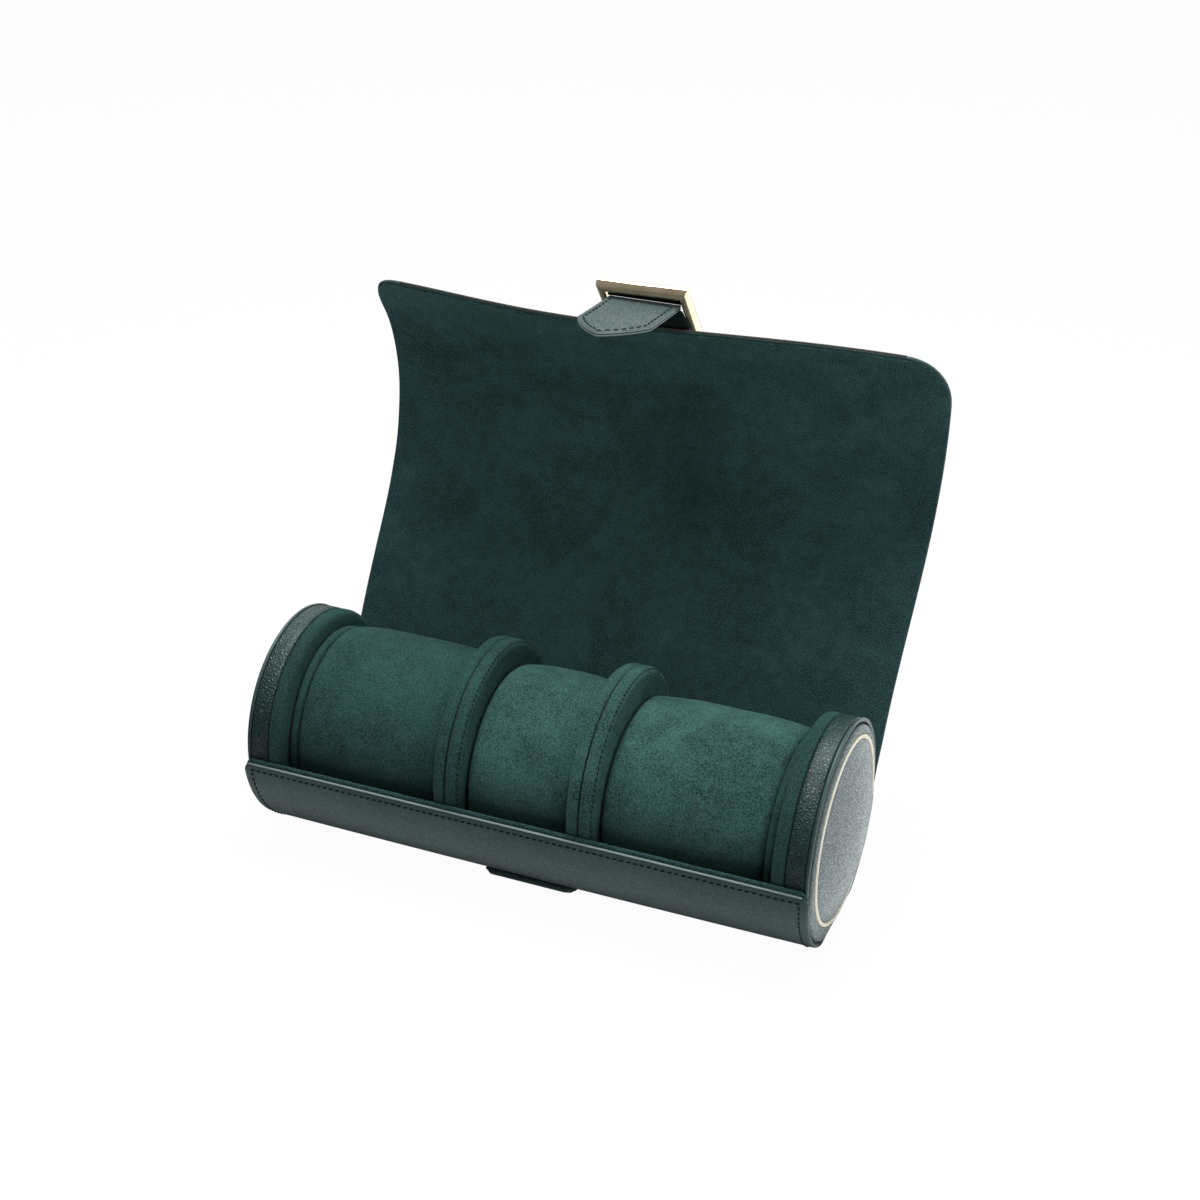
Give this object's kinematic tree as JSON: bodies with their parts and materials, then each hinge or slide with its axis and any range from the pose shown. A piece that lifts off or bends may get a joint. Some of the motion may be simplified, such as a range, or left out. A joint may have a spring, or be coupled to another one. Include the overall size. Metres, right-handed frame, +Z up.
{
  "type": "watch roll",
  "caption": "Open dark green leather watch roll with suede-lined tray, padded cuffs and dividers, curled flap and gold-framed strap clasp",
  "frame": {"origin": "centre of the flat the roll rests on, below the middle of the roll's axis", "axes": "+X along the roll to its right end in the picture, +Y to the back where the flap rises, +Z up"},
  "size_m": [0.2424, 0.1443, 0.217],
  "materials": {
    "leather": "pebbled, low sheen",
    "suede": "brushed nap",
    "board": "matte",
    "core": "raw",
    "padding": "felted",
    "piping": "smooth",
    "tongue_leather": "smooth, low sheen",
    "gold": "polished pale gold"
  },
  "bodies": {
    "body": {"tray_lining": "suede", "tray_board": "board", "tray_leather": "leather", "keeper_loop": "leather", "cap_rim_left": "leather", "cap_lining_left": "suede", "cap_core_left": "core", "cap_border_left": "leather", "cap_piping_left": "piping", "cap_panel_left": "leather", "divider_cover_left": "suede", "divider_core_left": "core", "cap_rim_right": "leather", "cap_lining_right": "suede", "cap_core_right": "core", "cap_border_right": "leather", "cap_piping_right": "piping", "cap_panel_right": "leather", "divider_cover_right": "suede", "divider_core_right": "core"},
    "flap_1": {"flap_lining_1": "suede", "flap_board_1": "board", "flap_leather_1": "leather"},
    "flap_2": {"flap_lining_2": "suede", "flap_board_2": "board", "flap_leather_2": "leather"},
    "flap_3": {"flap_lining_3": "suede", "flap_board_3": "board", "flap_leather_3": "leather"},
    "flap_4": {"flap_lining_4": "suede", "flap_board_4": "board", "flap_leather_4": "leather"},
    "flap_5": {"flap_lining_5": "suede", "flap_board_5": "board", "flap_leather_5": "leather"},
    "flap_6": {"flap_lining_6": "suede", "flap_board_6": "board", "flap_leather_6": "leather", "clasp_strap": "leather", "clasp_pad": "leather", "clasp_loop": "leather"},
    "tongue": {"clasp_tongue_backing": "tongue_leather", "clasp_tongue_face": "tongue_leather"},
    "frame": {"clasp_frame": "gold"},
    "cuff_left": {"cuff_cover_left": "suede", "cuff_core_left": "padding", "cuff_end_pad_left": "suede"},
    "cuff_middle": {"cuff_cover_middle": "suede", "cuff_core_middle": "padding"},
    "cuff_right": {"cuff_cover_right": "suede", "cuff_core_right": "padding", "cuff_end_pad_right": "suede"}
  },
  "joints": [
    {"name": "flap_fold_1", "type": "hinge", "parent": "body", "child": "flap_1", "pos_m": [0, 0.04972, 0.05227], "axis": [-1, 0, 0], "range_deg": [-44, 32.2]},
    {"name": "flap_fold_2", "type": "hinge", "parent": "flap_1", "child": "flap_2", "pos_m": [0, 0.0615, 0.07271], "axis": [-1, 0, 0], "range_deg": [-31.6, 23.1]},
    {"name": "flap_fold_3", "type": "hinge", "parent": "flap_2", "child": "flap_3", "pos_m": [0, 0.0746, 0.09234], "axis": [-1, 0, 0], "range_deg": [-23, 16.8]},
    {"name": "flap_fold_4", "type": "hinge", "parent": "flap_3", "child": "flap_4", "pos_m": [0, 0.08681, 0.11252], "axis": [-1, 0, 0], "range_deg": [-15.3, 11.2]},
    {"name": "flap_fold_5", "type": "hinge", "parent": "flap_4", "child": "flap_5", "pos_m": [0, 0.09631, 0.14228], "axis": [-1, 0, 0], "range_deg": [-8.6, 6.3]},
    {"name": "flap_fold_6", "type": "hinge", "parent": "flap_5", "child": "flap_6", "pos_m": [0, 0.09317, 0.17323], "axis": [-1, 0, 0], "range_deg": [-5.7, 4.2]},
    {"name": "tongue_bend", "type": "hinge", "parent": "flap_6", "child": "tongue", "pos_m": [0, 0.07721, 0.20739], "axis": [-1, 0, 0], "range_deg": [-3, 20], "stiffness_Nm_per_rad": 0.03},
    {"name": "frame_lift", "type": "hinge", "parent": "flap_6", "child": "frame", "pos_m": [0, 0.08945, 0.19635], "axis": [-1, 0, 0], "range_deg": [0, 25]},
    {"name": "cuff_left_lift", "type": "slide", "parent": "body", "child": "cuff_left", "axis": [0, 0, 1], "range_m": [0, 0.085]},
    {"name": "cuff_middle_lift", "type": "slide", "parent": "body", "child": "cuff_middle", "axis": [0, 0, 1], "range_m": [0, 0.085]},
    {"name": "cuff_right_lift", "type": "slide", "parent": "body", "child": "cuff_right", "axis": [0, 0, 1], "range_m": [0, 0.085]}
  ]
}
